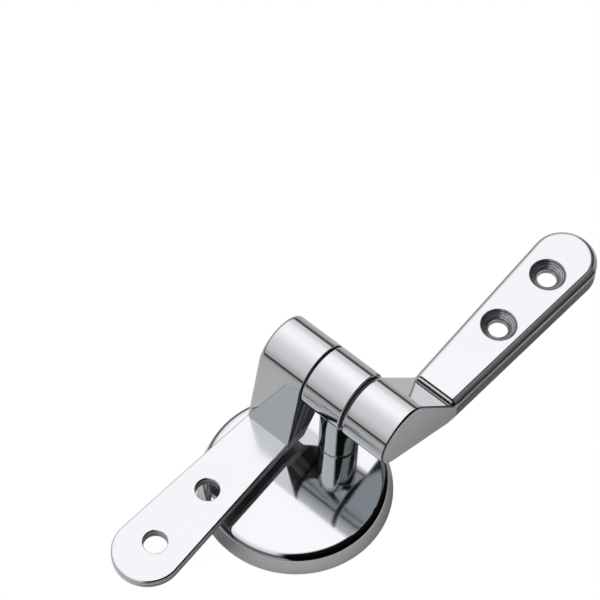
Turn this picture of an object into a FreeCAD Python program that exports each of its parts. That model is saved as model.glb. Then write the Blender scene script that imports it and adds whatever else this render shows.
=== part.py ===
import FreeCAD, Part
import math
import os
import Sketcher

V = FreeCAD.Vector

# ---------------------------------------------------------------------------
# Toilet seat hinge: an eccentric round base carrying a post with the centre
# knuckle, and two leaves that turn about one pin through the three knuckles.
# Frame: origin at the middle of the base on the surface it stands on, +X along
# the hinge pin, +Y to the rear, +Z up. Millimetres.
# ---------------------------------------------------------------------------
doc = FreeCAD.newDocument("toilet_seat_hinge")
sheet = doc.addObject("Spreadsheet::Sheet", "Spec")
sheet.Label = "Spec"

DIMS = [
    # base
    ("disc_foot_r", 25.0), ("disc_edge_r", 23.4), ("disc_top_z", 5.9), ("disc_edge_round", 2.3),
    ("disc_lip_z", 0.3), ("disc_rebate_r", 24.3), ("disc_rebate_z", 1.2), ("disc_cavity_r", 21.6), ("disc_ceiling_z", 3.6),
    ("stud_boss_r", 6.5), ("stud_boss_z", 0.5), ("stud_hole_r", 4.0), ("stud_hole_depth", 4.4),
    ("post_boss_r", 7.6), ("post_boss_z", 3.0), ("spigot_seat_r", 4.05), ("spigot_seat_depth", 1.2), ("post_hole_r", 2.85),
    ("rib_w", 2.0),
    ("gasket_in_r", 20.4), ("gasket_out_r", 24.15),
    # post and centre knuckle
    ("post_x", 1.6), ("post_y", 15.0), ("axis_z", 31.75), ("barrel_r", 8.5),
    ("post_r", 5.15), ("spigot_r", 4.0), ("spigot_len", 1.1), ("post_tap_r", 2.51), ("post_tap_depth", 12.0),
    ("mid_left", 6.1), ("mid_right", 6.0), ("mid_round", 0.4), ("post_foot_round", 0.7),
    # screw and spring washer under the base
    ("screw_shank_r", 2.5), ("screw_len", 13.0), ("screw_head_r", 4.3), ("screw_head_z", 0.5), ("screw_seat_z", 2.2),
    ("screw_head_round", 0.5), ("screw_key_af", 3.0), ("screw_key_depth", 1.1),
    ("washer_in_r", 2.7), ("washer_out_r", 4.4), ("washer_gap", 0.6),
    # pin and bushes
    ("pin_r", 3.0), ("pin_half", 17.4), ("pin_chamfer", 0.4), ("groove_in", 15.6), ("groove_out", 16.6), ("groove_r", 2.6),
    ("mid_bore_r", 3.01),
    ("bush_bore_r", 3.05), ("bush_out_r", 4.5), ("bush_end", 17.1), ("bush_flange_r", 7.7), ("bead_r", 2.68), ("bead_in", 15.7), ("bead_out", 16.5),
    ("seat_flange_face", 6.2), ("lid_flange_face", 6.12),
    # seat leaf
    ("seat_in", 6.62), ("seat_out", 20.42), ("leaf_bore_r", 4.51), ("leaf_bore_end", 17.6),
    ("seat_drop", 20.43), ("seat_lean_y", 12.3), ("seat_back_slope", 55.4), ("seat_plate_thick", 2.9),
    ("seat_tip_y", 57.0), ("seat_tip_r", 9.1),
    ("seat_hole_near", 34.8), ("seat_hole_pitch", 19.4), ("seat_hole_r", 3.1), ("seat_end_round", 1.2), ("seat_seam_round", 0.2), ("seat_edge", 0.5), ("seat_hole_round", 0.25), ("seat_plate_inset", 0.25), ("seat_plate_shift", 0.05),
    # lid leaf
    ("lid_in", 6.85), ("lid_out", 20.15), ("lid_slope", 52.0), ("lid_under", 26.3), ("lid_drop", 12.37), ("lid_thick", 6.4),
    ("lid_valley_round", 3.0), ("lid_heel_round", 4.0), ("lid_tip_y", 73.75), ("lid_tip_r", 8.75),
    ("lid_hole_near", 46.7), ("lid_hole_pitch", 20.2), ("lid_hole_r", 2.55), ("lid_sink_r", 4.8), ("lid_ledge_r", 3.0), ("lid_ledge_depth", 2.0), ("lid_wall", 3.2), ("lid_skirt", 2.2), ("lid_hollow_y", 29.0),
    ("lid_end_round", 0.6), ("lid_seam_round", 0.7), ("lid_rim", 1.8), ("lid_bar_inset", 0.15), ("lid_ramp", 3.0),
]
VAL = {}
for row, (alias, value) in enumerate(DIMS, start=1):
    sheet.set("A%d" % row, alias)
    sheet.set("B%d" % row, "%.6g" % value)
    sheet.setAlias("B%d" % row, alias)
    VAL[alias] = value
doc.recompute()


class Q:
    """A driving dimension or a sum of them: its number, and the expression that binds it to the sheet."""

    def __init__(self, number, text):
        self.n, self.t = number, text

    @staticmethod
    def of(other):
        return other if isinstance(other, Q) else Q(float(other), "%.6g" % other)

    def __add__(self, o):
        o = Q.of(o)
        return Q(self.n + o.n, "(%s + %s)" % (self.t, o.t))

    def __radd__(self, o):
        return Q.of(o) + self

    def __sub__(self, o):
        o = Q.of(o)
        return Q(self.n - o.n, "(%s - %s)" % (self.t, o.t))

    def __rsub__(self, o):
        return Q.of(o) - self

    def __mul__(self, o):
        o = Q.of(o)
        return Q(self.n * o.n, "(%s * %s)" % (self.t, o.t))

    def __rmul__(self, o):
        return Q.of(o) * self

    def __truediv__(self, o):
        o = Q.of(o)
        return Q(self.n / o.n, "(%s / %s)" % (self.t, o.t))

    def __neg__(self):
        return Q(-self.n, "(0 - %s)" % self.t)


def D(alias):
    return Q(VAL[alias], "Spec." + alias)


def sin(a):
    return Q(math.sin(math.radians(a.n)), "sin(%s * 1 deg)" % a.t)


def cos(a):
    return Q(math.cos(math.radians(a.n)), "cos(%s * 1 deg)" % a.t)


def tan(a):
    return Q(math.tan(math.radians(a.n)), "tan(%s * 1 deg)" % a.t)


def root(a):
    return Q(math.sqrt(a.n), "sqrt(%s)" % a.t)


def asin_deg(a):
    return Q(math.degrees(math.asin(a.n)), "(asin(%s) / 1 deg)" % a.t)


def atan_deg(a, b):
    return Q(math.degrees(math.atan2(a.n, b.n)), "(atan2(%s; %s) / 1 deg)" % (a.t, b.t))


def make_body(label, x=None, y=None, z=None):
    body = doc.addObject("PartDesign::Body", label)
    body.Label = label
    for axis, q in (("x", x), ("y", y), ("z", z)):
        if q is not None:
            body.setExpression("Placement.Base." + axis, Q.of(q).t)
    return body


def sketch_on(body, role, name, offset=None):
    """A sketch on one of the body's own origin planes, moved along the plane's normal by offset."""
    plane = [f for f in body.Origin.OriginFeatures if f.Role == role][0]
    sk = body.newObject("Sketcher::SketchObject", name)
    sk.AttachmentSupport = [(plane, "")]
    sk.MapMode = "FlatFace"
    if offset is not None:
        sk.setExpression("AttachmentOffset.Base.z", Q.of(offset).t)
    return sk


def pin_point(sk, geo, pos, x, y):
    """Fixes one point of a sketch at (x, y), each bound to the sheet."""
    x, y = Q.of(x), Q.of(y)
    if abs(x.n) < 1e-9:
        sk.addConstraint(Sketcher.Constraint("PointOnObject", geo, pos, -2))
    else:
        k = sk.addConstraint(Sketcher.Constraint("DistanceX", -1, 1, geo, pos, x.n))
        sk.setExpression("Constraints[%d]" % k, x.t)
    if abs(y.n) < 1e-9:
        sk.addConstraint(Sketcher.Constraint("PointOnObject", geo, pos, -1))
    else:
        k = sk.addConstraint(Sketcher.Constraint("DistanceY", -1, 1, geo, pos, y.n))
        sk.setExpression("Constraints[%d]" % k, y.t)


def polygon(sk, points):
    """A closed outline of straight sides through the given points."""
    pts = [(Q.of(a), Q.of(b)) for a, b in points]
    n = len(pts)
    first = sk.GeometryCount
    for i in range(n):
        a, b = pts[i], pts[(i + 1) % n]
        sk.addGeometry(Part.LineSegment(V(a[0].n, a[1].n, 0), V(b[0].n, b[1].n, 0)), False)
    for i in range(n):
        sk.addConstraint(Sketcher.Constraint("Coincident", first + i, 2, first + (i + 1) % n, 1))
    for i in range(n):
        pin_point(sk, first + i, 1, pts[i][0], pts[i][1])


def circle(sk, x, y, r):
    x, y, r = Q.of(x), Q.of(y), Q.of(r)
    g = sk.addGeometry(Part.Circle(V(x.n, y.n, 0), V(0, 0, 1), r.n), False)
    if abs(x.n) < 1e-9 and abs(y.n) < 1e-9:
        sk.addConstraint(Sketcher.Constraint("Coincident", g, 3, -1, 1))
    else:
        pin_point(sk, g, 3, x, y)
    k = sk.addConstraint(Sketcher.Constraint("Radius", g, r.n))
    sk.setExpression("Constraints[%d]" % k, r.t)


def tongue(sk, mid_x, root_half, root_y, tip_y, tip_r, sign):
    """A leaf's outline: straight sides from the root's corners, tangent to a round tip.
    sign is +1 where the tip is to the rear, -1 where it is to the front."""
    run = tip_y - root_y
    taper = asin_deg(tip_r / root(root_half * root_half + run * run)) - atan_deg(root_half, run)
    half = tip_r * cos(taper)
    reach = tip_y - tip_r * sin(taper)
    a = (mid_x - root_half, sign * root_y)
    b = (mid_x - half, sign * reach)
    c = (mid_x + half, sign * reach)
    d = (mid_x + root_half, sign * root_y)
    g = sk.GeometryCount
    sk.addGeometry(Part.LineSegment(V(a[0].n, a[1].n, 0), V(b[0].n, b[1].n, 0)), False)
    centre = V(mid_x.n, sign * tip_y.n, 0)
    beta = math.radians(taper.n)
    if sign > 0:
        sk.addGeometry(Part.ArcOfCircle(Part.Circle(centre, V(0, 0, 1), tip_r.n), -beta, math.pi + beta), False)
        start, end = 1, 2                      # the arc starts on the +X side
    else:
        sk.addGeometry(Part.ArcOfCircle(Part.Circle(centre, V(0, 0, 1), tip_r.n), math.pi - beta, 2 * math.pi + beta), False)
        start, end = 2, 1                      # the arc ends on the +X side
    sk.addGeometry(Part.LineSegment(V(c[0].n, c[1].n, 0), V(d[0].n, d[1].n, 0)), False)
    sk.addGeometry(Part.LineSegment(V(d[0].n, d[1].n, 0), V(a[0].n, a[1].n, 0)), False)
    sk.addConstraint(Sketcher.Constraint("Tangent", g, 2, g + 1, end))
    sk.addConstraint(Sketcher.Constraint("Tangent", g + 1, start, g + 2, 1))
    sk.addConstraint(Sketcher.Constraint("Coincident", g + 2, 2, g + 3, 1))
    sk.addConstraint(Sketcher.Constraint("Coincident", g + 3, 2, g, 1))
    pin_point(sk, g + 1, 3, mid_x, sign * tip_y)
    k = sk.addConstraint(Sketcher.Constraint("Radius", g + 1, tip_r.n))
    sk.setExpression("Constraints[%d]" % k, tip_r.t)
    pin_point(sk, g, 1, a[0], a[1])
    pin_point(sk, g + 2, 2, d[0], d[1])


def feature(body, kind, name, sk=None, **props):
    f = body.newObject("PartDesign::" + kind, name)
    if sk is not None:
        f.Profile = sk
    for key, value in props.items():
        if isinstance(value, Q):
            f.setExpression(key, value.t)
        else:
            setattr(f, key, value)
    doc.recompute()
    return f


def revolve(body, name, sk, axis):
    return feature(body, "Revolution", name, sk, ReferenceAxis=(sk, [axis]), Angle=360.0)


def edges_where(shape, test):
    return ["Edge%d" % (i + 1) for i, e in enumerate(shape.Edges) if test(e)]


def dress(body, kind, name, test, size):
    """A fillet or chamfer on the body's edges that pass the test (edges are given in the body's own frame)."""
    base = body.Tip
    names = edges_where(base.Shape, test)
    if not names:
        raise RuntimeError("no edge for " + name)
    f = body.newObject("PartDesign::" + kind, name)
    f.Base = (base, names)
    f.setExpression("Radius" if kind == "Fillet" else "Size", size.t)
    doc.recompute()
    return f


def mid(e):
    return e.valueAt((e.FirstParameter + e.LastParameter) / 2)


def is_circle(e, r, tol=1e-3):
    return isinstance(e.Curve, Part.Circle) and abs(e.Curve.Radius - r) < tol


# --------------------------------------------------------------- base_disc
# A shallow cast cup: drafted wall, rounded top edge, flat polished top, hollow below.
base = make_body("base_disc")
sk = sketch_on(base, "XZ_Plane", "disc_profile")
polygon(sk, [
    (0, D("disc_ceiling_z")), (D("disc_cavity_r"), D("disc_ceiling_z")), (D("disc_cavity_r"), D("disc_rebate_z")),
    (D("disc_rebate_r"), D("disc_rebate_z")), (D("disc_rebate_r"), D("disc_lip_z")), (D("disc_foot_r"), D("disc_lip_z")),
    (D("disc_edge_r"), D("disc_top_z")), (0, D("disc_top_z")),
])
revolve(base, "disc_shell", sk, "V_Axis")
dress(base, "Fillet", "disc_top_round", lambda e: is_circle(e, VAL["disc_edge_r"]) and abs(mid(e).z - VAL["disc_top_z"]) < 1e-3, D("disc_edge_round"))
# the boss for the fixing stud in the middle, the boss under the post, and a rib between them
sk = sketch_on(base, "XY_Plane", "stud_boss_outline", D("stud_boss_z"))
circle(sk, 0, 0, D("stud_boss_r"))
feature(base, "Pad", "stud_boss", sk, Length=D("disc_ceiling_z") - D("stud_boss_z") + 0.5)
sk = sketch_on(base, "XY_Plane", "post_boss_outline", D("post_boss_z"))
circle(sk, D("post_x"), D("post_y"), D("post_boss_r"))
feature(base, "Pad", "post_boss", sk, Length=D("disc_ceiling_z") - D("post_boss_z") + 0.5)
for k, (dx, dy) in enumerate(((1, 0), (-1, 0), (0, -1))):
    sk = sketch_on(base, "XY_Plane", "rib_outline_%d" % k, D("stud_boss_z") + 1.2)
    near, far, w = D("stud_boss_r") - 0.5, D("disc_cavity_r") + 0.6, D("rib_w") / 2
    if dx:
        polygon(sk, [(dx * near, -w), (dx * far, -w), (dx * far, w), (dx * near, w)])
    else:
        polygon(sk, [(-w, dy * near), (w, dy * near), (w, dy * far), (-w, dy * far)])
    feature(base, "Pad", "rib_%d" % k, sk, Length=D("disc_ceiling_z") - D("stud_boss_z") - 0.7)
# the blind hole for the stud, the seat that locates the post's spigot, and the screw's hole through the web
sk = sketch_on(base, "XY_Plane", "stud_hole_outline", D("stud_boss_z"))
circle(sk, 0, 0, D("stud_hole_r"))
feature(base, "Pocket", "stud_hole", sk, Length=D("stud_hole_depth"), Reversed=True)
sk = sketch_on(base, "XY_Plane", "spigot_seat_outline", D("disc_top_z"))
circle(sk, D("post_x"), D("post_y"), D("spigot_seat_r"))
feature(base, "Pocket", "spigot_seat", sk, Length=D("spigot_seat_depth"))
sk = sketch_on(base, "XY_Plane", "post_hole_outline", D("disc_top_z"))
circle(sk, D("post_x"), D("post_y"), D("post_hole_r"))
feature(base, "Pocket", "post_hole", sk, Length=D("disc_top_z"))

# -------------------------------------------------------------- base_gasket
gasket = make_body("base_gasket")
sk = sketch_on(gasket, "XZ_Plane", "gasket_profile")
polygon(sk, [(D("gasket_in_r"), 0), (D("gasket_out_r"), 0), (D("gasket_out_r"), D("disc_rebate_z")), (D("gasket_in_r"), D("disc_rebate_z"))])
revolve(gasket, "gasket_ring", sk, "V_Axis")

# --------------------------------------------------------------- hinge_post
# Centre knuckle and post, one casting, with a spigot that locates it in the base.
post = make_body("hinge_post", D("post_x"), D("post_y"), D("axis_z"))
top = D("disc_top_z") - D("axis_z")
sk = sketch_on(post, "YZ_Plane", "mid_knuckle_outline", -D("mid_left"))
circle(sk, 0, 0, D("barrel_r"))
feature(post, "Pad", "mid_knuckle", sk, Length=D("mid_left") + D("mid_right"))
dress(post, "Fillet", "mid_knuckle_round", lambda e: is_circle(e, VAL["barrel_r"]), D("mid_round"))
sk = sketch_on(post, "XY_Plane", "post_outline", top)
circle(sk, 0, 0, D("post_r"))
feature(post, "Pad", "post_column", sk, Length=-top - D("barrel_r") + 3.2)
dress(post, "Fillet", "post_foot", lambda e: is_circle(e, VAL["post_r"]) and abs(mid(e).z - top.n) < 1e-3, D("post_foot_round"))
sk = sketch_on(post, "XY_Plane", "spigot_outline", top - D("spigot_len"))
circle(sk, 0, 0, D("spigot_r"))
feature(post, "Pad", "post_spigot", sk, Length=D("spigot_len") + 0.5)
sk = sketch_on(post, "XY_Plane", "tap_outline", top - D("spigot_len"))
circle(sk, 0, 0, D("post_tap_r"))
feature(post, "Pocket", "post_tapped_hole", sk, Length=D("post_tap_depth"), Reversed=True)
sk = sketch_on(post, "YZ_Plane", "mid_bore_outline", D("mid_right") + 1)
circle(sk, 0, 0, D("mid_bore_r"))
feature(post, "Pocket", "mid_bore", sk, Length=D("mid_left") + D("mid_right") + 2)

# --------------------------------------------------------------- post_screw
screw = make_body("post_screw", D("post_x"), D("post_y"))
sk = sketch_on(screw, "XZ_Plane", "screw_profile")
polygon(sk, [
    (0, D("screw_head_z")), (D("screw_head_r") - D("screw_head_round"), D("screw_head_z")), (D("screw_head_r"), D("screw_head_z") + D("screw_head_round")),
    (D("screw_head_r"), D("screw_seat_z")), (D("screw_shank_r"), D("screw_seat_z")), (D("screw_shank_r"), D("screw_seat_z") + D("screw_len") - 0.5),
    (D("screw_shank_r") - 0.5, D("screw_seat_z") + D("screw_len")), (0, D("screw_seat_z") + D("screw_len")),
])
revolve(screw, "screw_body", sk, "V_Axis")
sk = sketch_on(screw, "XY_Plane", "screw_key_outline", D("screw_head_z"))
arm = D("screw_key_af") / 2
third = arm / 1.7320508
polygon(sk, [(2 * third, 0), (third, arm), (-third, arm), (-2 * third, 0), (-third, -arm), (third, -arm)])
feature(screw, "Pocket", "screw_key", sk, Length=D("screw_key_depth"), Reversed=True)

# ------------------------------------------------------- post_spring_washer
washer = make_body("post_spring_washer", D("post_x"), D("post_y"))
sk = sketch_on(washer, "XZ_Plane", "washer_profile")
polygon(sk, [(D("washer_in_r"), D("screw_seat_z")), (D("washer_out_r"), D("screw_seat_z")), (D("washer_out_r"), D("post_boss_z")), (D("washer_in_r"), D("post_boss_z"))])
revolve(washer, "washer_ring", sk, "V_Axis")
sk = sketch_on(washer, "XY_Plane", "washer_split_outline", D("post_boss_z"))
polygon(sk, [(D("washer_in_r") - 1, -D("washer_gap") / 2), (D("washer_out_r") + 1, -D("washer_gap") / 2), (D("washer_out_r") + 1, D("washer_gap") / 2), (D("washer_in_r") - 1, D("washer_gap") / 2)])
feature(washer, "Pocket", "washer_split", sk, Length=D("post_boss_z") - D("screw_seat_z") + 0.0)

# ---------------------------------------------------------------- hinge_pin
pin = make_body("hinge_pin", D("post_x"), D("post_y"), D("axis_z"))
sk = sketch_on(pin, "XZ_Plane", "pin_profile")
r, c, h = D("pin_r"), D("pin_chamfer"), D("pin_half")
polygon(sk, [
    (-h, 0), (-h, r - c), (c - h, r), (-D("groove_out"), r), (-D("groove_out"), D("groove_r")), (-D("groove_in"), D("groove_r")), (-D("groove_in"), r),
    (D("groove_in"), r), (D("groove_in"), D("groove_r")), (D("groove_out"), D("groove_r")), (D("groove_out"), r), (h - c, r), (h, r - c), (h, 0),
])
revolve(pin, "pin_body", sk, "H_Axis")


# ------------------------------------------------- seat_bush and lid_bush
# Flanged sleeves pressed into the leaves; an inner bead snaps into the pin's groove, the flange shows as the dark ring.
def bush(label, s, face, leaf_face):
    b = make_body(label, D("post_x"), D("post_y"), D("axis_z"))
    k = sketch_on(b, "XZ_Plane", label + "_profile")
    polygon(k, [
        (s * face, D("bush_bore_r")), (s * face, D("bush_flange_r")), (s * leaf_face, D("bush_flange_r")), (s * leaf_face, D("bush_out_r")),
        (s * D("bush_end"), D("bush_out_r")), (s * D("bush_end"), D("bush_bore_r")), (s * D("bead_out"), D("bush_bore_r")), (s * D("bead_out"), D("bead_r")),
        (s * D("bead_in"), D("bead_r")), (s * D("bead_in"), D("bush_bore_r")),
    ])
    revolve(b, label + "_sleeve", k, "H_Axis")
    return b


seat_bush = bush("seat_bush", -1, D("seat_flange_face"), D("seat_in"))
lid_bush = bush("lid_bush", 1, D("lid_flange_face"), D("lid_in"))

# ---------------------------------------------------------------- seat_leaf
# Knuckle, an upright that narrows from the barrel down to the foot, and a thin flat plate with two holes.
seat = make_body("seat_leaf", D("post_x"), D("post_y"), D("axis_z"))
R, drop, foot = D("barrel_r"), D("seat_drop"), D("seat_lean_y")
sk = sketch_on(seat, "YZ_Plane", "seat_knuckle_outline", -D("seat_out"))
circle(sk, 0, 0, R)
feature(seat, "Pad", "seat_knuckle", sk, Length=D("seat_out") - D("seat_in"))
# the front face leans forward and touches the barrel, and so does the back face, which slopes down to the heel
lean_q = atan_deg(drop, foot) + asin_deg(R / root(foot * foot + drop * drop))
touch = (-(R * sin(lean_q)), R * cos(lean_q))
under = drop + D("seat_plate_thick")
back = D("seat_back_slope")
back_touch = (R * sin(back), -(R * cos(back)))
heel = back_touch[0] - (under + back_touch[1]) / tan(back)
out_y = foot + D("seat_plate_thick") / tan(lean_q)
sk = sketch_on(seat, "YZ_Plane", "upright_outline", -D("seat_out"))
polygon(sk, [touch, (-out_y, -under), (heel, -under), back_touch, (0, 0)])
feature(seat, "Pad", "seat_upright", sk, Length=D("seat_out") - D("seat_in"))
dress(seat, "Fillet", "seat_end_edge", lambda e: abs(mid(e).x + VAL["seat_out"]) < 1e-3, D("seat_end_round"))
dress(seat, "Fillet", "seat_seam_edge", lambda e: abs(mid(e).x + VAL["seat_in"]) < 1e-3, D("seat_seam_round"))
# the plate is shaped on its own, its root inside the upright, and then joined to it
plate = make_body("seat_plate")
sk = sketch_on(plate, "XY_Plane", "seat_plate_outline", -under)
seat_mid = (D("seat_in") + D("seat_out")) / 2 + D("seat_plate_shift")
root_half = (D("seat_out") - D("seat_in")) / 2 - D("seat_plate_inset")
tongue(sk, -seat_mid, root_half, foot - 3.0, D("seat_tip_y"), D("seat_tip_r"), -1)
feature(plate, "Pad", "seat_plate_pad", sk, Length=D("seat_plate_thick"))
sk = sketch_on(plate, "XY_Plane", "seat_holes_outline", -drop)
circle(sk, -seat_mid, -D("seat_hole_near"), D("seat_hole_r"))
circle(sk, -seat_mid, -(D("seat_hole_near") + D("seat_hole_pitch")), D("seat_hole_r"))
feature(plate, "Pocket", "seat_holes", sk, Length=D("seat_plate_thick") + 1)


def plate_rim(e):
    """The plate's outline, above and below, without its holes and its root."""
    m = mid(e)
    flat = min(abs(m.z + under.n), abs(m.z + VAL["seat_drop"])) < 1e-3
    return flat and m.y < -VAL["seat_lean_y"] and not is_circle(e, VAL["seat_hole_r"])


dress(plate, "Fillet", "seat_plate_edge", plate_rim, D("seat_edge"))
dress(plate, "Fillet", "seat_hole_edge", lambda e: is_circle(e, VAL["seat_hole_r"]) and abs(mid(e).z + VAL["seat_drop"]) < 1e-3, D("seat_hole_round"))
join = seat.newObject("PartDesign::Boolean", "seat_join")
join.setObjects([plate])
join.Type = "Fuse"
doc.recompute()
sk = sketch_on(seat, "YZ_Plane", "seat_bore_outline", -D("seat_in") + 0.0)
circle(sk, 0, 0, D("leaf_bore_r"))
feature(seat, "Pocket", "seat_bore", sk, Length=D("leaf_bore_end") - D("seat_in"))

# ----------------------------------------------------------------- lid_leaf
# Knuckle, a neck that slopes down to the rear, and a bar with rounded edges, hollow below, with two countersunk holes.
lid = make_body("lid_leaf", D("post_x"), D("post_y"), D("axis_z"))
a, u = D("lid_slope"), D("lid_under")
sk = sketch_on(lid, "YZ_Plane", "lid_knuckle_outline", D("lid_in"))
circle(sk, 0, 0, R)
feature(lid, "Pad", "lid_knuckle", sk, Length=D("lid_out") - D("lid_in"))
t_up = (R * sin(a), R * cos(a))
t_low = (-(R * sin(u)), -(R * cos(u)))
bar_top, bar_low = -D("lid_drop"), -(D("lid_drop") + D("lid_thick"))
valley = t_up[0] + (t_up[1] - bar_top) / tan(a)
heel_y = t_low[0] + (t_low[1] - bar_low) / tan(u)
sk = sketch_on(lid, "YZ_Plane", "lid_neck_outline", D("lid_in"))
polygon(sk, [t_up, (0, 0), t_low, (heel_y, bar_low), (valley + D("lid_thick") / tan(a), bar_low)])
feature(lid, "Pad", "lid_neck", sk, Length=D("lid_out") - D("lid_in"))
dress(lid, "Fillet", "lid_heel", lambda e: abs(mid(e).y - heel_y.n) < 1e-3 and abs(mid(e).z - bar_low.n) < 1e-3, D("lid_heel_round"))


def lid_side(e, x):
    """The outline of the knuckle's and neck's side face at x, without the edge under the bar."""
    m = mid(e)
    return abs(m.x - x) < 1e-3 and abs(m.z - bar_low.n) > 1e-3


dress(lid, "Fillet", "lid_end_edge", lambda e: lid_side(e, VAL["lid_out"]), D("lid_end_round"))
dress(lid, "Fillet", "lid_seam_edge", lambda e: lid_side(e, VAL["lid_in"]), D("lid_seam_round"))
# the bar is shaped on its own: its root is a short ramp inside the neck, flush with the neck's slope
bar = make_body("lid_bar")
sk = sketch_on(bar, "XY_Plane", "lid_bar_outline", bar_low)
lid_mid = (D("lid_in") + D("lid_out")) / 2
lid_half = (D("lid_out") - D("lid_in")) / 2
ramp = D("lid_ramp")
tongue(sk, lid_mid, lid_half - D("lid_bar_inset"), valley - ramp, D("lid_tip_y"), D("lid_tip_r"), 1)
feature(bar, "Pad", "lid_bar_pad", sk, Length=D("lid_thick") + 2 * ramp)
far_y = D("lid_tip_y") + D("lid_tip_r") + 1
sk = sketch_on(bar, "YZ_Plane", "lid_bar_profile", D("lid_in") - 5)
polygon(sk, [(valley, bar_top), (far_y, bar_top), (far_y, bar_top + 3 * ramp), (valley - 2 * ramp, bar_top + 3 * ramp), (valley - 2 * ramp, bar_top + 2 * ramp * tan(a))])
feature(bar, "Pocket", "lid_bar_top", sk, Length=D("lid_out") - D("lid_in") + 10, Reversed=True)
sk = sketch_on(bar, "YZ_Plane", "lid_bar_root_profile", D("lid_in") - 5)
polygon(sk, [(valley - 2 * ramp, bar_low - 1), (valley - 0.4, bar_low - 1), (valley - 0.4, bar_top - 1.5), (valley - 2 * ramp, bar_top - 1.5)])
feature(bar, "Pocket", "lid_bar_root", sk, Length=D("lid_out") - D("lid_in") + 10, Reversed=True)
dress(bar, "Fillet", "lid_valley", lambda e: abs(mid(e).y - valley.n) < 1e-3 and abs(mid(e).z - bar_top.n) < 1e-3, D("lid_valley_round"))


def bar_rim(e):
    """The outline of the bar's top and its ramp."""
    m = mid(e)
    return m.z > bar_top.n - 1e-3 and m.y > valley.n - ramp.n + 0.1 and (abs(m.x - lid_mid.n) > 1 or m.y > valley.n + 20)


dress(bar, "Fillet", "lid_bar_edge", bar_rim, D("lid_rim"))
sk = sketch_on(bar, "XY_Plane", "lid_hollow_outline", bar_low)
tongue(sk, lid_mid, lid_half - D("lid_skirt") + 0.35, D("lid_hollow_y"), D("lid_tip_y"), D("lid_tip_r") - D("lid_skirt"), 1)
feature(bar, "Pocket", "lid_hollow", sk, Length=D("lid_thick") - D("lid_wall"), Reversed=True)
sk = sketch_on(bar, "XY_Plane", "lid_ledges_outline", bar_top)
circle(sk, lid_mid, D("lid_hole_near"), D("lid_ledge_r"))
circle(sk, lid_mid, D("lid_hole_near") + D("lid_hole_pitch"), D("lid_ledge_r"))
feature(bar, "Pocket", "lid_ledges", sk, Length=D("lid_ledge_depth"))
dress(bar, "Chamfer", "lid_countersinks", lambda e: is_circle(e, VAL["lid_ledge_r"]) and abs(mid(e).z + VAL["lid_drop"]) < 1e-3, D("lid_sink_r") - D("lid_ledge_r"))
sk = sketch_on(bar, "XY_Plane", "lid_holes_outline", bar_top)
circle(sk, lid_mid, D("lid_hole_near"), D("lid_hole_r"))
circle(sk, lid_mid, D("lid_hole_near") + D("lid_hole_pitch"), D("lid_hole_r"))
feature(bar, "Pocket", "lid_holes", sk, Length=D("lid_thick"))
join = lid.newObject("PartDesign::Boolean", "lid_join")
join.setObjects([bar])
join.Type = "Fuse"
doc.recompute()
sk = sketch_on(lid, "YZ_Plane", "lid_bore_outline", D("lid_in") + 0.0)
circle(sk, 0, 0, D("leaf_bore_r"))
feature(lid, "Pocket", "lid_bore", sk, Length=D("leaf_bore_end") - D("lid_in"), Reversed=True)

doc.recompute()

# ------------------------------------------------------------ check and write
NODES = [base, gasket, post, screw, washer, pin, seat_bush, lid_bush, seat, lid]
for obj in doc.Objects:
    if any(word in obj.State for word in ("Invalid", "Error")):
        raise RuntimeError("object failed: %s %s" % (obj.Name, obj.State))
os.makedirs("parts", exist_ok=True)
for node in NODES:
    shape = node.Shape
    if shape.isNull() or not shape.isValid() or len(shape.Solids) != 1:
        raise RuntimeError("bad shape: " + node.Label)
for node in NODES:
    node.Shape.exportStep(os.path.join("parts", node.Label + ".step"))
    bb = node.Shape.BoundBox
    print("%-20s volume %9.1f  x %.2f %.2f  y %.2f %.2f  z %.2f %.2f  faces %d" % (
        node.Label, node.Shape.Volume, bb.XMin, bb.XMax, bb.YMin, bb.YMax, bb.ZMin, bb.ZMax, len(node.Shape.Faces)))
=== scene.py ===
import math

import bpy
from mathutils import Matrix, Vector

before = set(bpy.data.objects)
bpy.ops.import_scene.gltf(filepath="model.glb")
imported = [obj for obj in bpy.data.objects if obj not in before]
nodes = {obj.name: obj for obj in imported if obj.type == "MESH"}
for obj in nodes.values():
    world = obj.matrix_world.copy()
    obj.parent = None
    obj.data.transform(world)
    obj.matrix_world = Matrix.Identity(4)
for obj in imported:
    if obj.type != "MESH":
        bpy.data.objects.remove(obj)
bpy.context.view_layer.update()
scene = bpy.context.scene


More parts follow.
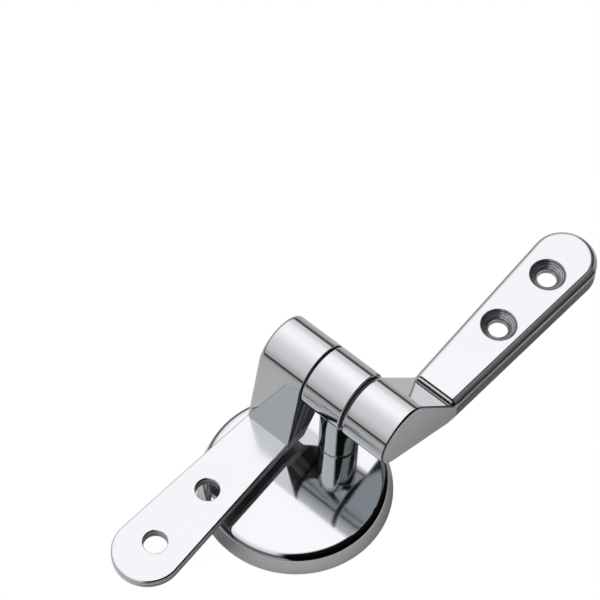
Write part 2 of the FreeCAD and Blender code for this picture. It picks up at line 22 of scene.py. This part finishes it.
# ------------------------------------------------------------------ node helpers
class Tree:
    """Short spellings for a node tree: add nodes, set their sockets and link them."""

    def __init__(self, tree):
        self.t = tree
        self.t.nodes.clear()

    def add(self, kind, props=None, **inputs):
        n = self.t.nodes.new(kind)
        for k, v in (props or {}).items():
            setattr(n, k, v)
        for k, v in inputs.items():
            self.put(n, k.replace("_", " "), v)
        return n

    def put(self, n, key, v):
        sock = n.inputs[key]
        if isinstance(v, bpy.types.NodeSocket):
            self.t.links.new(v, sock)
        else:
            sock.default_value = v

    def math(self, op, a, b=None, c=None, clamp=False):
        n = self.t.nodes.new("ShaderNodeMath")
        n.operation = op
        n.use_clamp = clamp
        for i, v in enumerate((a, b, c)):
            if v is not None:
                self.put(n, i, v)
        return n.outputs[0]

    def vmath(self, op, a, b=None):
        n = self.t.nodes.new("ShaderNodeVectorMath")
        n.operation = op
        self.put(n, 0, a)
        if b is not None:
            self.put(n, 1, b)
        return n.outputs["Value"] if op in ("DOT_PRODUCT", "LENGTH") else n.outputs["Vector"]

    def ramp(self, fac, stops, mode="LINEAR"):
        n = self.t.nodes.new("ShaderNodeValToRGB")
        cr = n.color_ramp
        cr.interpolation = mode
        while len(cr.elements) < len(stops):
            cr.elements.new(0.5)
        for e, (pos, col) in zip(cr.elements, stops):
            e.position = pos
            e.color = (*col, 1.0) if not isinstance(col, (int, float)) else (col, col, col, 1.0)
        self.put(n, 0, fac)
        return n.outputs[0]

    def mix(self, fac, a, b, kind="RGBA", blend="MIX"):
        n = self.t.nodes.new("ShaderNodeMix")
        n.data_type = kind
        if kind == "RGBA":
            n.blend_type = blend
        socks = [s for s in n.inputs if s.enabled]
        outs = [s for s in n.outputs if s.enabled]
        for s, v in zip(socks, (fac, a, b)):
            if isinstance(v, bpy.types.NodeSocket):
                self.t.links.new(v, s)
            else:
                s.default_value = (*v, 1.0) if isinstance(v, tuple) and len(v) == 3 and kind == "RGBA" else v
        return outs[0]

    def smooth(self, value, lo, hi):
        n = self.t.nodes.new("ShaderNodeMapRange")
        n.interpolation_type = "SMOOTHSTEP"
        self.put(n, "Value", value)
        n.inputs["From Min"].default_value = lo
        n.inputs["From Max"].default_value = hi
        return n.outputs[0]

    def span(self, value, lo, hi, to_lo=0.0, to_hi=1.0):
        n = self.t.nodes.new("ShaderNodeMapRange")
        self.put(n, "Value", value)
        n.inputs["From Min"].default_value = lo
        n.inputs["From Max"].default_value = hi
        n.inputs["To Min"].default_value = to_lo
        n.inputs["To Max"].default_value = to_hi
        return n.outputs[0]


def new_material(name):
    m = bpy.data.materials.new(name)
    m.use_nodes = True
    return m, Tree(m.node_tree)


# ------------------------------------------------------------------ materials
class Coat:
    """The inputs of a surface while it is being put together, with the object's own place and face direction at hand."""

    def __init__(self, t, co, base, rough):
        self.t, self.co, self.base, self.rough, self.metal, self.gloss = t, co, base, rough, 1.0, 0.5
        self.place = t.add("ShaderNodeSeparateXYZ", Vector=co).outputs
        self.normal = t.add("ShaderNodeTexCoord").outputs["Normal"]
        self.facing = t.add("ShaderNodeSeparateXYZ", Vector=self.normal).outputs

    def both(self, *masks):
        out = masks[0]
        for m in masks[1:]:
            out = self.t.math("MULTIPLY", out, m)
        return out

    def between(self, value, lo, hi, edge):
        return self.both(self.t.smooth(value, lo - edge, lo + edge), self.t.smooth(value, hi + edge, hi - edge))

    def paint(self, mask, colour, dull=0.0, rough=0.0):
        """Give the masked place a painted colour, which in the marks is partly painted light and shade; dull takes away
        that part of the mirror, rough makes it softer.
        """
        t = self.t
        self.base = t.mix(mask, self.base, colour)
        if dull:
            keep = t.math("SUBTRACT", 1.0, t.math("MULTIPLY", mask, dull))
            self.metal = t.math("MULTIPLY", self.metal, keep)
            self.gloss = t.math("MULTIPLY", self.gloss, keep)
        if rough:
            self.rough = t.math("ADD", self.rough, t.math("MULTIPLY", mask, rough))

    def streaks(self, across, broad, fine, lo=0.42, hi=0.58):
        """Light and dark lines of a grinding belt that follow each other across the given length."""
        t = self.t
        drift = t.add("ShaderNodeTexNoise", Vector=self.co, Scale=60.0, Detail=1.0).outputs["Fac"]
        w = t.math("ADD", across, t.math("MULTIPLY", drift, 0.0004))
        a = t.add("ShaderNodeTexNoise", {"noise_dimensions": "1D"}, W=w, Scale=broad, Detail=2.0, Roughness=0.6).outputs["Fac"]
        b = t.add("ShaderNodeTexNoise", {"noise_dimensions": "1D"}, W=w, Scale=fine, Detail=1.0).outputs["Fac"]
        return t.math("ADD", t.span(a, lo, hi, 0.0, 0.65), t.span(b, 0.35, 0.65, 0.0, 0.35))


def disc_painted_edge_reflection(c):
    """A fine darker line painted round the rounded edge of the top: a painted dark reflection."""
    rim = c.between(c.facing["Z"], 0.65, 0.86, 0.04)
    # painted reflection: a dark colour on the rounded edge where it mirrors the dark band low in the studio
    c.paint(rim, (0.12, 0.123, 0.126), rough=0.03)


def seat_streaks_and_painted_light(c):
    """Belt streaks on the inner side and the underside of the seat leaf, whose light lines are painted light: light
    tones that stand in for light from the dark side of the studio.
    """
    t = c.t
    upright = t.math("ABSOLUTE", c.facing["Z"])
    side = c.both(t.smooth(upright, 0.40, 0.15), t.smooth(c.facing["X"], 0.35, 0.70), t.smooth(c.place["Y"], 0.030, 0.024))
    low = t.smooth(c.place["Z"], 0.0128, 0.0108)
    high = t.smooth(c.place["Z"], 0.0108, 0.0128)
    # lower inner side: belt streaks whose light tones are painted highlights, standing in for light that the dark side
    # of the studio does not give
    c.paint(c.both(side, low), t.mix(c.streaks(c.place["Z"], 1300.0, 3400.0), (0.06, 0.06, 0.063), (0.85, 0.86, 0.87)), 0.90, 0.24)
    # upper inner side: dark belt streaks with faint painted highlights
    along = t.vmath("DOT_PRODUCT", c.co, (0.0, 0.94, -0.33))
    c.paint(c.both(side, high), t.mix(c.streaks(along, 520.0, 2000.0, 0.48, 0.60), (0.010, 0.010, 0.011), (0.34, 0.345, 0.35)), 0.95, 0.24)
    # underside: streaks whose light tones are painted highlights on a face that sees only dark
    under = c.both(t.smooth(c.facing["Z"], -0.6, -0.9), t.smooth(c.place["Z"], 0.0128, 0.0108))
    c.paint(under, t.mix(c.streaks(c.place["X"], 1200.0, 3400.0, 0.40, 0.60), (0.15, 0.15, 0.152), (0.60, 0.605, 0.61)), 0.60, 0.22)


def lid_painted_bands_and_lines(c):
    """Outer side and end of the lid bar with painted bands of light and shade along them, laid over belt streaks, a
    painted highlight between two painted dark reflection lines in the valley before the neck, and a dark colour painted
    on the edge of the neck.
    """
    t = c.t
    x, y, z = c.place["X"], c.place["Y"], c.place["Z"]
    past = t.math("MAXIMUM", t.math("SUBTRACT", y, 0.08875), 0.0)
    off = t.math("SUBTRACT", x, 0.0151)
    reach = t.math("SQRT", t.math("ADD", t.math("MULTIPLY", off, off), t.math("MULTIPLY", past, past)))
    half = t.math("MINIMUM", t.math("ADD", t.math("MULTIPLY", t.math("SUBTRACT", y, 0.033), 0.04036), 0.0065), 0.00875)
    inset = t.math("SUBTRACT", half, reach)
    # how far round the rim and down the side, from 0 where the level top ends to 1 at the lower edge
    down = t.math("ADD", t.math("MULTIPLY", t.math("SUBTRACT", 0.0018, inset), 237.5), t.math("MULTIPLY", t.math("SUBTRACT", 0.01938, z), 93.75))
    wander = t.add("ShaderNodeTexNoise", {"noise_dimensions": "1D"}, W=y, Scale=32.0, Detail=1.0).outputs["Fac"]
    band = t.math("ADD", down, t.span(wander, 0.3, 0.7, -0.012, 0.012))
    lines = t.add("ShaderNodeCombineXYZ", X=t.math("MULTIPLY", band, 11.0), Y=t.math("MULTIPLY", y, 35.0)).outputs[0]
    lined = t.add("ShaderNodeTexNoise", Vector=lines, Scale=1.0, Detail=2.0, Roughness=0.6).outputs["Fac"]
    # painted light and shade down the long side: bright and dark reflection lines as base colour, with the belt streaks
    # of lined over them
    long_side = t.ramp(band, [(0.0, 0.52), (0.07, 0.48), (0.20, 0.46), (0.30, 0.38), (0.39, 0.22), (0.44, 0.08), (0.48, 0.12), (0.53, 0.95), (0.60, 0.92),
                              (0.66, 0.30), (0.72, 0.19), (0.80, 0.34), (0.87, 0.20), (0.94, 0.37), (1.0, 0.38)])
    # painted light and shade on the end: a dark band, then a painted highlight
    end = t.ramp(down, [(0.0, 0.60), (0.08, 0.40), (0.12, 0.03), (0.19, 0.04), (0.25, 0.90), (0.5, 0.95), (0.75, 0.85), (1.0, 0.70)])
    shaded = t.mix(1.0, long_side, t.ramp(t.span(lined, 0.32, 0.68), [(0.0, 0.55), (1.0, 1.0)]), blend="MULTIPLY")
    at_end = t.smooth(t.math("DIVIDE", past, t.math("MAXIMUM", reach, 0.001)), 0.22, 0.42)
    out_right = t.smooth(t.vmath("DOT_PRODUCT", c.normal, (0.85, 0.53, 0.0)), 0.06, 0.20)
    side = c.both(out_right, t.smooth(down, -0.035, 0.0), t.smooth(y, 0.0362, 0.0372))
    c.paint(side, t.mix(at_end, shaded, end), 0.90, 0.22)
    flat = t.smooth(t.math("ABSOLUTE", c.facing["X"]), 0.5, 0.3)
    # painted reflection in the valley: a dark line, a painted highlight strip and a dark line, set by the slope of the
    # face
    valley = c.both(flat, c.between(y, 0.0344, 0.0371, 0.0001), c.between(z, 0.0192, 0.0208, 0.0001), c.between(c.facing["Y"], 0.03, 0.77, 0.012))
    c.paint(valley, t.ramp(c.facing["Y"], [(0.0, 0.02), (0.18, 0.02), (0.23, 0.90), (0.38, 0.90), (0.44, 0.015), (0.8, 0.015)]), 0.85, 0.10)
    # a dark colour painted along the edge of the neck
    neck = c.both(c.between(c.facing["X"], 0.25, 0.90, 0.08), t.smooth(x, 0.0208, 0.0211), t.smooth(y, 0.0368, 0.0362))
    c.paint(neck, (0.05, 0.051, 0.053), rough=0.05)


def chrome(name, tint_a, tint_b, wave, rough_lo, rough_hi, soft=0.0, marks=None, bores=(), bore_r=0.0):
    """Chromium plate on a polished casting: slow polishing waves, a fine grain, hairline wipe marks and a faintly
    uneven tint.
    soft is the extra softness of the level faces, which were buffed last. marks adds the lines and bands of one
    casting, partly belt streaks and partly painted light, shade and reflections, and bores lists the centres of drilled
    holes, which keep the rings of the tool."""
    m, t = new_material(name)
    co = t.add("ShaderNodeTexCoord").outputs["Object"]
    cloud = t.add("ShaderNodeTexNoise", Vector=co, Scale=55.0, Detail=3.0, Roughness=0.55).outputs["Fac"]
    grain = t.add("ShaderNodeTexNoise", Vector=co, Scale=2600.0, Detail=2.0, Roughness=0.5).outputs["Fac"]
    swirl = t.add("ShaderNodeTexNoise", Vector=co, Scale=70.0, Detail=2.0, Distortion=0.6).outputs["Color"]
    bent = t.vmath("ADD", t.vmath("MULTIPLY", co, (900.0, 60.0, 900.0)), t.vmath("MULTIPLY", swirl, (6.0, 6.0, 6.0)))
    hair = t.add("ShaderNodeTexNoise", Vector=bent, Scale=1.0, Detail=1.0).outputs["Fac"]
    wipe = t.span(hair, 0.66, 0.78)
    wave_h = t.add("ShaderNodeTexNoise", Vector=co, Scale=85.0, Detail=1.0).outputs["Fac"]
    b1 = t.add("ShaderNodeBump", Height=wave_h, Strength=1.0, Distance=wave)
    b2 = t.add("ShaderNodeBump", Height=grain, Strength=1.0, Distance=wave * 0.004, Normal=b1.outputs[0])
    base = t.mix(t.span(cloud, 0.3, 0.7), tint_a, tint_b)
    rough = t.math("ADD", t.span(cloud, 0.25, 0.75, rough_lo, rough_hi), t.math("MULTIPLY", wipe, 0.03))
    c = Coat(t, co, base, rough)
    face = b2.outputs[0]
    if soft:
        c.rough = t.math("ADD", c.rough, t.math("MULTIPLY", t.smooth(c.facing["Z"], 0.95, 0.995), t.span(cloud, 0.3, 0.7, soft * 0.7, soft * 1.3)))
    if marks:
        marks(c)
    for x, y in bores:
        from_axis = t.vmath("LENGTH", t.vmath("MULTIPLY", t.vmath("SUBTRACT", co, (x, y, 0.0)), (1.0, 1.0, 0.0)))
        inside = t.smooth(from_axis, bore_r + 0.00005, bore_r - 0.00005)
        depth = t.math("ADD", from_axis, t.math("MULTIPLY", c.place["Z"], 0.7))
        turned = t.add("ShaderNodeTexNoise", {"noise_dimensions": "1D"}, W=depth, Scale=1500.0, Detail=2.0).outputs["Fac"]
        smear = t.add("ShaderNodeTexNoise", Vector=co, Scale=420.0, Detail=2.0).outputs["Fac"]
        mark = t.math("ADD", t.span(turned, 0.38, 0.62, 0.0, 0.7), t.span(smear, 0.35, 0.65, 0.0, 0.3))
        c.paint(inside, t.mix(mark, (0.10, 0.102, 0.108), (0.62, 0.635, 0.65)), 0.26)
        c.rough = t.math("ADD", c.rough, t.math("MULTIPLY", inside, t.span(turned, 0.3, 0.7, 0.30, 0.12)))
        b4 = t.add("ShaderNodeBump", Height=t.math("MULTIPLY", turned, inside), Strength=1.0, Distance=1.4e-4, Normal=face)
        face = b4.outputs[0]
    p = t.add("ShaderNodeBsdfPrincipled", Base_Color=c.base, Roughness=c.rough, Normal=face, Metallic=c.metal, Specular_IOR_Level=c.gloss)
    out = t.add("ShaderNodeOutputMaterial")
    t.t.links.new(p.outputs[0], out.inputs["Surface"])
    return m


def turned_steel(name):
    """Bright steel with fine turning marks round its axis and a little uneven oil film."""
    m, t = new_material(name)
    co = t.add("ShaderNodeTexCoord").outputs["Object"]
    rings = t.add("ShaderNodeTexNoise", Vector=t.vmath("MULTIPLY", co, (5200.0, 260.0, 5200.0)), Scale=1.0, Detail=2.0).outputs["Fac"]
    film = t.add("ShaderNodeTexNoise", Vector=co, Scale=320.0, Detail=3.0).outputs["Fac"]
    bump = t.add("ShaderNodeBump", Height=rings, Strength=0.5, Distance=2.0e-6)
    base = t.mix(t.span(film, 0.3, 0.7), (0.47, 0.47, 0.48), (0.58, 0.575, 0.565))
    rough = t.span(rings, 0.2, 0.8, 0.2, 0.36)
    p = t.add("ShaderNodeBsdfPrincipled", Base_Color=base, Roughness=rough, Normal=bump.outputs[0])
    p.inputs["Metallic"].default_value = 1.0
    out = t.add("ShaderNodeOutputMaterial")
    t.t.links.new(p.outputs[0], out.inputs["Surface"])
    return m


def moulded(name, dark, light, rough_lo, rough_hi, scale, depth):
    """Black moulded nylon or rubber: fine mould grain, slightly mottled, duller where it is rubbed."""
    m, t = new_material(name)
    co = t.add("ShaderNodeTexCoord").outputs["Object"]
    grain = t.add("ShaderNodeTexNoise", Vector=co, Scale=scale, Detail=3.0, Roughness=0.6).outputs["Fac"]
    mottle = t.add("ShaderNodeTexNoise", Vector=co, Scale=180.0, Detail=2.0).outputs["Fac"]
    bump = t.add("ShaderNodeBump", Height=grain, Strength=0.6, Distance=depth)
    base = t.mix(t.span(mottle, 0.3, 0.7), dark, light)
    rough = t.span(mottle, 0.25, 0.75, rough_lo, rough_hi)
    p = t.add("ShaderNodeBsdfPrincipled", Base_Color=base, Roughness=rough, Normal=bump.outputs[0])
    out = t.add("ShaderNodeOutputMaterial")
    t.t.links.new(p.outputs[0], out.inputs["Surface"])
    return m


seat_bores = ((-0.01197, -0.0198), (-0.01197, -0.0392))
lid_bores = ((0.0151, 0.0617), (0.0151, 0.0819))

chrome_disc = chrome("chrome_disc_plate", (0.570, 0.597, 0.604), (0.588, 0.613, 0.618), 4.0e-6, 0.020, 0.045, soft=0.036,
                     marks=disc_painted_edge_reflection)
chrome_post = chrome("chrome_post_plate", (0.569, 0.595, 0.601), (0.587, 0.612, 0.617), 6.0e-6, 0.025, 0.055)
chrome_seat = chrome("chrome_seat_plate", (0.570, 0.597, 0.604), (0.588, 0.613, 0.618), 6.0e-6, 0.025, 0.055, soft=0.11,
                     marks=seat_streaks_and_painted_light, bores=seat_bores, bore_r=0.0031)
chrome_lid = chrome("chrome_lid_plate", (0.570, 0.597, 0.604), (0.588, 0.613, 0.618), 6.0e-6, 0.025, 0.055, soft=0.03,
                    marks=lid_painted_bands_and_lines, bores=lid_bores, bore_r=0.0048)
steel = turned_steel("bright_turned_steel")
nylon = moulded("black_nylon", (0.012, 0.012, 0.013), (0.024, 0.024, 0.026), 0.38, 0.55, 2400.0, 6.0e-6)
rubber = moulded("black_rubber", (0.022, 0.022, 0.022), (0.040, 0.040, 0.039), 0.62, 0.80, 1500.0, 1.2e-5)

FINISH = {
    "base_disc": chrome_disc, "base_gasket": rubber, "hinge_post": chrome_post, "post_screw": steel,
    "post_spring_washer": steel, "hinge_pin": steel, "seat_bush": nylon, "lid_bush": nylon,
    "seat_leaf": chrome_seat, "lid_leaf": chrome_lid,
}
for name, material in FINISH.items():
    data = nodes[name].data
    data.materials.clear()
    data.materials.append(material)

# ------------------------------------------------------------------ floor
bpy.ops.mesh.primitive_circle_add(vertices=96, radius=4.0, fill_type="NGON", location=(0, 0, 0))
floor = bpy.context.active_object
floor.name = "floor"
m, t = new_material("pale_floor")
co = t.add("ShaderNodeTexCoord").outputs["Object"]
dist = t.vmath("LENGTH", co)
# the lit part of the table is about a metre wide and falls away into the dark of the room
fall = t.ramp(t.span(dist, 0.0, 2.0), [(0.0, (0.96, 0.95, 0.94)), (0.06, (0.96, 0.95, 0.94)), (0.12, 0.75), (0.20, 0.60), (0.35, 0.45), (0.50, 0.20), (0.75, 0.05), (1.0, 0.02)])
sheet = t.add("ShaderNodeBsdfDiffuse", Color=fall)
lift = t.add("ShaderNodeEmission", Color=fall, Strength=0.05)
white = t.add("ShaderNodeAddShader")
t.put(white, 0, sheet.outputs[0])
t.put(white, 1, lift.outputs[0])
# painted contact shadow: seen from the camera the plain white floor is darkened near the parts by the ambient occlusion
# factor
ao = t.add("ShaderNodeAmbientOcclusion", {"samples": 8}, Distance=0.012)
glow = t.add("ShaderNodeEmission", Color=t.ramp(ao.outputs["AO"], [(0.0, (0.90, 0.90, 0.91)), (0.6, (1.0, 1.0, 1.0))]), Strength=1.0)
path = t.add("ShaderNodeLightPath")
seen = t.add("ShaderNodeMixShader")
t.put(seen, 0, path.outputs["Is Camera Ray"])
t.put(seen, 1, white.outputs[0])
t.put(seen, 2, glow.outputs[0])
back = t.add("ShaderNodeNewGeometry").outputs["Backfacing"]
clear = t.add("ShaderNodeBsdfTransparent")
both = t.add("ShaderNodeMixShader")
t.put(both, 0, back)
t.put(both, 1, seen.outputs[0])
t.put(both, 2, clear.outputs[0])
out = t.add("ShaderNodeOutputMaterial")
t.t.links.new(both.outputs[0], out.inputs["Surface"])
floor.data.materials.append(m)

# ------------------------------------------------------------------ studio light
# A white tent to the left and behind, open to a dark room on the right, with a dark line at the horizon.
world = bpy.data.worlds.new("studio")
scene.world = world
world.use_nodes = True
t = Tree(world.node_tree)
vec = t.vmath("NORMALIZE", t.add("ShaderNodeTexCoord").outputs["Generated"])
sep = t.add("ShaderNodeSeparateXYZ", Vector=vec)
el = t.math("MULTIPLY", t.math("ARCSINE", sep.outputs["Z"]), 180.0 / math.pi)
flat = t.vmath("NORMALIZE", t.add("ShaderNodeCombineXYZ", X=sep.outputs["X"], Y=sep.outputs["Y"], Z=0.0).outputs[0])


def toward(az, elev=0.0):
    """Unit vector towards an azimuth (0 on the -Y side, 90 on the +X side) and an elevation, in degrees."""
    a, e = math.radians(az), math.radians(elev)
    return (math.sin(a) * math.cos(e), -math.cos(a) * math.cos(e), math.sin(e))


turn = t.math("MULTIPLY", t.math("ARCCOSINE", t.vmath("DOT_PRODUCT", flat, toward(-140.0))), 180.0 / math.pi)
rear_share = t.span(turn, 110.0, 0.0)
up = t.span(el, 0.0, 90.0)
K = 1.5


def sky(stops, tint_low, tint_high):
    rows = []
    for e, v in stops:
        k = min(1.0, e / 45.0)
        rows.append((e / 90.0, tuple(v * K / 2.0 * (a + (b - a) * k) for a, b in zip(tint_low, tint_high))))
    return t.ramp(up, rows)


front = sky([(0, 0.04), (3.5, 0.05), (5, 0.28), (7, 0.36), (11, 0.40), (16, 0.45), (25, 0.54), (37, 0.62), (55, 0.67), (75, 0.74)], (1.05, 1, 1), (1.02, 1.0, 1.055))
rear = sky([(0, 0.04), (7, 0.06), (9, 0.34), (11, 0.64), (15, 0.69), (25, 0.745), (33, 0.88), (39, 1.0), (60, 1.03), (80, 1.0)], (1.05, 1, 1.01), (1.06, 1.0, 1.04))
tent = t.mix(rear_share, front, rear)
dark = t.smooth(t.vmath("DOT_PRODUCT", vec, toward(111.0, 19.0)), 0.24, 0.36)
light = t.mix(dark, tent, (0.003, 0.003, 0.003))
below = t.math("LESS_THAN", el, 0.0)
lit = t.mix(below, light, (0.02, 0.02, 0.02))
bg = t.add("ShaderNodeBackground", Color=lit, Strength=2.0)
plain = t.add("ShaderNodeBackground", Color=(1.0, 1.0, 1.0, 1.0), Strength=1.0)
path = t.add("ShaderNodeLightPath")
pick = t.add("ShaderNodeMixShader")
t.put(pick, 0, path.outputs["Is Camera Ray"])
t.put(pick, 1, bg.outputs[0])
t.put(pick, 2, plain.outputs[0])
out = t.add("ShaderNodeOutputWorld")
t.t.links.new(pick.outputs[0], out.inputs["Surface"])

scene.view_settings.view_transform = "Standard"
scene.view_settings.look = "None"
scene.view_settings.exposure = 0.0
scene.view_settings.gamma = 1.0

# ------------------------------------------------------------------ camera
cam_data = bpy.data.cameras.new("camera")
cam_data.lens = 180.0
cam_data.sensor_width = 36.0
cam_data.clip_start, cam_data.clip_end = 0.01, 100.0
cam = bpy.data.objects.new("camera", cam_data)
scene.collection.objects.link(cam)
right = Vector((0.7581338778, 0.6517841919, 0.0202580968))
down = Vector((0.5616504487, -0.6368780718, -0.5281430631))
ahead = Vector((-0.3313333620, 0.4117811176, -0.8489137261))
pos = Vector((0.2267581, -0.2826377, 0.6716600))
cam.matrix_world = Matrix((
    (right.x, -down.x, -ahead.x, pos.x),
    (right.y, -down.y, -ahead.y, pos.y),
    (right.z, -down.z, -ahead.z, pos.z),
    (0, 0, 0, 1),
))
scene.camera = cam

# ------------------------------------------------------------------ update
bpy.context.view_layer.update()
